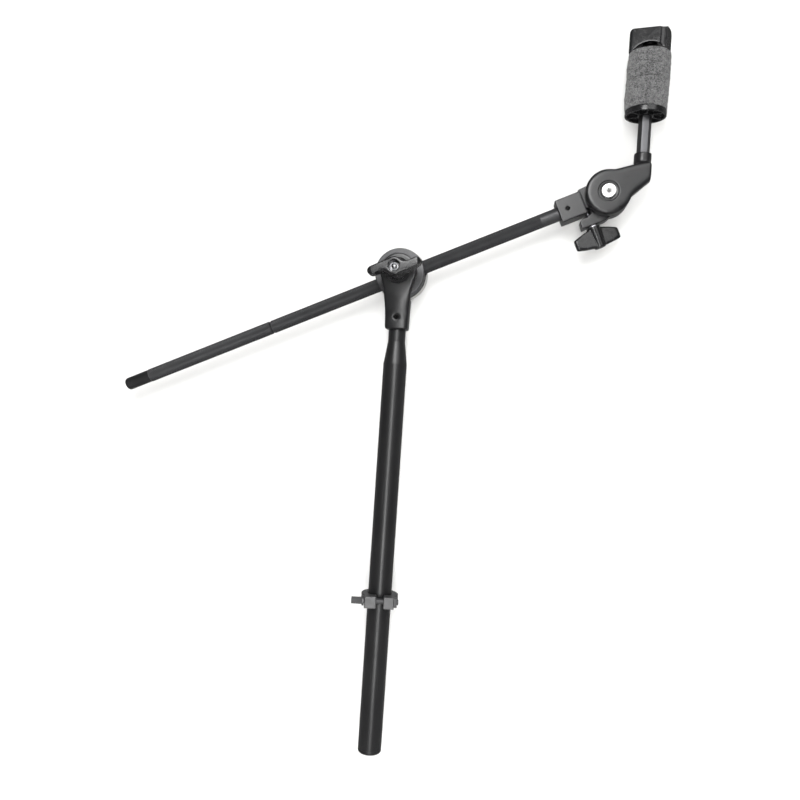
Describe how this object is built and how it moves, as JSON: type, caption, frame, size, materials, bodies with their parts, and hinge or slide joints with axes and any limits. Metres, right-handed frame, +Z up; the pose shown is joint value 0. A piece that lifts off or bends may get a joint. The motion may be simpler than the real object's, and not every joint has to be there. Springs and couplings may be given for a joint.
{
  "type": "boom cymbal holder",
  "caption": "Boom cymbal holder: post with stop collar, wing-nut tilter, knurled sliding boom and a small tilter carrying a hexagonal stem with seat, felts and nut.",
  "frame": {"origin": "centre of the flat lower end face of the post", "axes": "+Z up the post, +X towards the cymbal end of the boom, wing nuts face -Y"},
  "size_m": [0.5021, 0.07, 0.6827],
  "materials": {
    "post_black": "satin",
    "plug_plastic": "satin",
    "collar_grey": "satin",
    "casting_black": "satin",
    "drum_black": "satin",
    "pin_black": "matte",
    "spring_steel": "bright",
    "zinc_steel": "bright zinc",
    "white_nickel": "bright nickel",
    "fibre": "matte",
    "nylon_grey": "matte",
    "boom_black": "knurled, satin",
    "stem_steel": "dark, brushed",
    "wing_plastic": "glossy",
    "felt_grey": "pressed wool felt, mottled"
  },
  "bodies": {
    "post": {"post_tube": "post_black", "post_plug": "plug_plastic", "tilter_bracket": "casting_black", "bracket_pin": "pin_black", "release_spring": "spring_steel"},
    "collar": {"stop_collar": "collar_grey", "collar_nut": "collar_grey"},
    "collar_bolt": {"collar_bolt": "collar_grey"},
    "clutch": {"clutch_disc_front": "drum_black", "clutch_disc_rear": "drum_black", "eye_bolt": "zinc_steel", "friction_washer": "fibre"},
    "clutch_wing": {"clutch_wing": "wing_plastic", "clutch_wing_insert": "zinc_steel", "clutch_washer": "zinc_steel"},
    "boom_sleeve": {"boom_sleeve": "nylon_grey"},
    "boom": {"boom_rod": "boom_black", "boom_end_cap": "plug_plastic", "knuckle": "casting_black", "knuckle_pin": "pin_black", "jaw_nut": "zinc_steel"},
    "jaw_wing": {"jaw_bolt": "zinc_steel", "jaw_washer": "zinc_steel", "jaw_wing": "wing_plastic"},
    "head": {"head_arm": "casting_black", "hub_drum": "drum_black", "pivot_screw": "white_nickel", "pivot_dish": "casting_black", "pivot_washer": "drum_black", "pivot_nut": "zinc_steel", "hex_stem": "stem_steel"},
    "seat": {"seat_cup": "wing_plastic", "stem_sleeve": "nylon_grey", "felt_lower": "felt_grey", "felt_upper": "felt_grey"},
    "nut_insert": {"nut_insert": "zinc_steel"},
    "top_nut": {"top_nut": "wing_plastic"}
  },
  "joints": [
    {"name": "collar_slide", "type": "slide", "parent": "post", "child": "collar", "axis": [0, 0, 1], "range_m": [-0.13, 0.21]},
    {"name": "collar_bolt_turn", "type": "hinge", "parent": "collar", "child": "collar_bolt", "pos_m": [0.00306, -0.01733, 0.1471], "axis": [0.9848, 0.1736, 0], "continuous": true},
    {"name": "boom_tilt", "type": "hinge", "parent": "post", "child": "clutch", "pos_m": [0, 0, 0.4533], "axis": [0, -1, 0], "range_deg": [-70, 25]},
    {"name": "clutch_wing_turn", "type": "hinge", "parent": "clutch", "child": "clutch_wing", "pos_m": [0, -0.03, 0.4533], "axis": [0, -1, 0], "continuous": true},
    {"name": "boom_roll", "type": "hinge", "parent": "clutch", "child": "boom_sleeve", "pos_m": [0.00069, 0, 0.45175], "axis": [0.9128, 0, 0.4083], "continuous": true},
    {"name": "boom_slide", "type": "slide", "parent": "boom_sleeve", "child": "boom", "axis": [-0.9128, 0, -0.4083], "range_m": [-0.235, 0.12]},
    {"name": "jaw_wing_turn", "type": "hinge", "parent": "boom", "child": "jaw_wing", "pos_m": [0.16564, 0.003, 0.52553], "axis": [-0.4083, 0, 0.9128], "continuous": true},
    {"name": "head_tilt", "type": "hinge", "parent": "boom", "child": "head", "pos_m": [0.18536, 0, 0.53435], "axis": [0, -1, 0], "range_deg": [-45, 85]},
    {"name": "seat_turn", "type": "hinge", "parent": "head", "child": "seat", "pos_m": [0.21406, -0.005, 0.6165], "axis": [0, 0, 1], "continuous": true},
    {"name": "nut_lift", "type": "slide", "parent": "head", "child": "nut_insert", "axis": [0, 0, 1], "range_m": [0, 0.03]},
    {"name": "nut_turn", "type": "hinge", "parent": "nut_insert", "child": "top_nut", "pos_m": [0.21406, -0.005, 0.6765], "axis": [0, 0, 1], "continuous": true}
  ]
}
